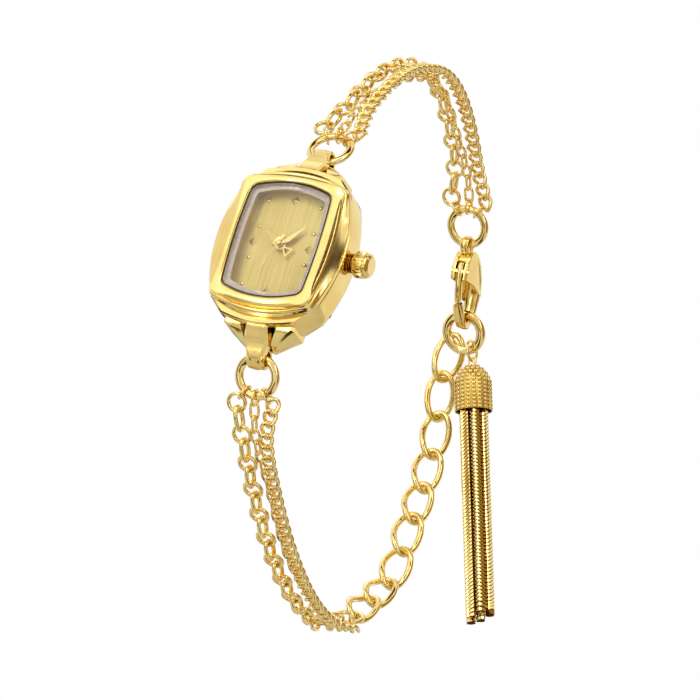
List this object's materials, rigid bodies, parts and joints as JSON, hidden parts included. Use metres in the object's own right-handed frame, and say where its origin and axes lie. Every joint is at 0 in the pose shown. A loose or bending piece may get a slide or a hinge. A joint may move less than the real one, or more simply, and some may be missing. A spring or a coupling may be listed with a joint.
{
  "type": "bracelet watch",
  "caption": "Small tonneau wristwatch with stepped bezel, applied markers, dauphine hands and fluted crown on a multi-strand chain bracelet with lobster clasp, extension chain and tassel.",
  "frame": {"origin": "centre of the case back's outer face", "axes": "+X towards the crown at 3 o'clock, +Z towards 12 o'clock, +Y out of the case back towards the wrist, so the dial faces -Y"},
  "size_m": [0.022, 0.0745, 0.0743],
  "materials": {
    "polished_gold": "polished yellow gold plating",
    "chain_gold": "bright yellow gold plating",
    "dial_champagne": "champagne dial, brushed from 12 to 6 o'clock",
    "mineral_glass": "clear flat watch glass",
    "edge_gasket": "pinkish grey edge band",
    "movement_plastic": "black movement holder",
    "movement_metal": "nickel plated plates and arbors",
    "wheel_brass": "plain brass wheels",
    "steel": "polished steel",
    "board_green": "green circuit board",
    "coil_copper": "enamelled copper winding",
    "seal_rubber": "black rubber seal"
  },
  "bodies": {
    "case": {"mid_case": "polished_gold", "bezel": "polished_gold", "case_back": "polished_gold", "dial_ring": "polished_gold", "dial": "dial_champagne", "dial_markers": "polished_gold", "crystal": "mineral_glass", "crystal_gasket": "edge_gasket", "movement_holder": "movement_plastic", "main_plate": "movement_metal", "train_bridge": "movement_metal", "circuit_board": "board_green", "coil": "coil_copper", "stator": "steel", "battery": "steel", "battery_strap": "steel", "movement_screws": "steel", "case_back_gasket": "seal_rubber", "crown_tube": "polished_gold", "stem_gasket": "seal_rubber"},
    "setting_lever": {"setting_lever": "steel"},
    "crown": {"crown": "polished_gold", "crown_stem": "steel", "clutch_pinion": "steel"},
    "seconds": {"second_hand": "polished_gold", "second_wheel": "wheel_brass"},
    "minutes": {"minute_hand": "polished_gold", "centre_wheel": "wheel_brass"},
    "hours": {"hour_hand": "polished_gold", "hour_wheel": "wheel_brass"},
    "third_wheel": {"third_wheel": "wheel_brass"},
    "minute_wheel": {"minute_wheel": "wheel_brass"},
    "intermediate_wheel": {"intermediate_wheel": "wheel_brass"},
    "rotor": {"rotor": "steel"},
    "bracelet": {"upper_lug_ring": "chain_gold", "lower_lug_ring": "chain_gold", "upper_belcher_chain": "chain_gold", "lower_belcher_chain": "chain_gold", "upper_curb_chain": "chain_gold", "lower_curb_chain": "chain_gold", "upper_cable_chain": "chain_gold", "lower_cable_chain": "chain_gold", "clasp_ring": "chain_gold", "clasp_body": "polished_gold", "clasp_rivet": "polished_gold", "clasp_spring": "steel", "end_ring": "chain_gold", "strand_rings": "chain_gold"},
    "clasp_lever": {"clasp_lever": "polished_gold"},
    "extension": {"extension_chain": "chain_gold"},
    "tassel": {"tassel_ring": "chain_gold", "tassel_cap": "polished_gold", "tassel_chain_0": "chain_gold"},
    "tassel_chain_1": {"tassel_chain_1": "chain_gold"},
    "tassel_chain_2": {"tassel_chain_2": "chain_gold"},
    "tassel_chain_3": {"tassel_chain_3": "chain_gold"},
    "tassel_chain_4": {"tassel_chain_4": "chain_gold"},
    "tassel_chain_5": {"tassel_chain_5": "chain_gold"},
    "tassel_chain_6": {"tassel_chain_6": "chain_gold"}
  },
  "joints": [
    {"name": "crown_pull", "type": "slide", "parent": "case", "child": "setting_lever", "axis": [1, 0, 0], "range_m": [0, 0.0008]},
    {"name": "crown_turn", "type": "hinge", "parent": "setting_lever", "child": "crown", "pos_m": [0.0095, -0.0033, 0], "axis": [1, 0, 0], "continuous": true},
    {"name": "seconds_turn", "type": "hinge", "parent": "case", "child": "seconds", "pos_m": [0, -0.003, 0], "axis": [0, 1, 0], "continuous": true},
    {"name": "minutes_turn", "type": "hinge", "parent": "case", "child": "minutes", "pos_m": [0, -0.003, 0], "axis": [0, 1, 0], "continuous": true},
    {"name": "hours_turn", "type": "hinge", "parent": "case", "child": "hours", "pos_m": [0, -0.003, 0], "axis": [0, 1, 0], "continuous": true},
    {"name": "third_wheel_turn", "type": "hinge", "parent": "case", "child": "third_wheel", "pos_m": [0.00146, -0.003, 0.00053], "axis": [0, 1, 0], "continuous": true},
    {"name": "minute_wheel_turn", "type": "hinge", "parent": "case", "child": "minute_wheel", "pos_m": [0.0011, -0.003, -0.0011], "axis": [0, 1, 0], "continuous": true},
    {"name": "intermediate_wheel_turn", "type": "hinge", "parent": "case", "child": "intermediate_wheel", "pos_m": [-0.00153, -0.003, 0.00056], "axis": [0, 1, 0], "continuous": true},
    {"name": "rotor_turn", "type": "hinge", "parent": "case", "child": "rotor", "pos_m": [-0.00219, -0.003, 0.00196], "axis": [0, 1, 0], "continuous": true},
    {"name": "bracelet_sway", "type": "hinge", "parent": "case", "child": "bracelet", "pos_m": [0, -0.0018, 0], "axis": [0, 0, 1], "range_deg": [-8, 8]},
    {"name": "clasp_gate", "type": "hinge", "parent": "bracelet", "child": "clasp_lever", "pos_m": [0, 0.04878, 0.02266], "axis": [1, 0, 0], "range_deg": [0, 18], "stiffness_Nm_per_rad": 0.00002, "springref_deg": -17.19},
    {"name": "extension_sway", "type": "hinge", "parent": "bracelet", "child": "extension", "pos_m": [-0.00125, 0.05732, 0.01517], "axis": [0.0288, -0.1877, -0.9818], "range_deg": [-6, 6]},
    {"name": "tassel_swing", "type": "hinge", "parent": "bracelet", "child": "tassel", "pos_m": [0.00125, 0.05732, 0.01517], "axis": [0.9571, -0.1809, 0.2264], "range_deg": [0, 25]},
    {"name": "tassel_chain_1_swing", "type": "hinge", "parent": "tassel", "child": "tassel_chain_1", "pos_m": [0.00465, 0.05859, 0.0082], "axis": [-0.1261, -0.9634, -0.2367], "range_deg": [0, 8]},
    {"name": "tassel_chain_2_swing", "type": "hinge", "parent": "tassel", "child": "tassel_chain_2", "pos_m": [0.0038, 0.05751, 0.00774], "axis": [-0.8919, -0.325, -0.3144], "range_deg": [0, 8]},
    {"name": "tassel_chain_3_swing", "type": "hinge", "parent": "tassel", "child": "tassel_chain_3", "pos_m": [0.00241, 0.05777, 0.00741], "axis": [-0.7658, 0.6384, -0.0778], "range_deg": [0, 8]},
    {"name": "tassel_chain_4_swing", "type": "hinge", "parent": "tassel", "child": "tassel_chain_4", "pos_m": [0.00188, 0.05911, 0.00755], "axis": [0.1261, 0.9634, 0.2367], "range_deg": [0, 8]},
    {"name": "tassel_chain_5_swing", "type": "hinge", "parent": "tassel", "child": "tassel_chain_5", "pos_m": [0.00273, 0.06019, 0.00801], "axis": [0.8919, 0.325, 0.3144], "range_deg": [0, 8]},
    {"name": "tassel_chain_6_swing", "type": "hinge", "parent": "tassel", "child": "tassel_chain_6", "pos_m": [0.00412, 0.05993, 0.00834], "axis": [0.7658, -0.6384, 0.0777], "range_deg": [0, 8]}
  ],
  "couplings": [
    {"joint": "minutes_turn", "follows": "seconds_turn", "ratio": 0.016667},
    {"joint": "hours_turn", "follows": "seconds_turn", "ratio": 0.0013889},
    {"joint": "third_wheel_turn", "follows": "seconds_turn", "ratio": -0.125},
    {"joint": "minute_wheel_turn", "follows": "seconds_turn", "ratio": -0.0055556},
    {"joint": "intermediate_wheel_turn", "follows": "seconds_turn", "ratio": -5},
    {"joint": "rotor_turn", "follows": "seconds_turn", "ratio": 30}
  ]
}
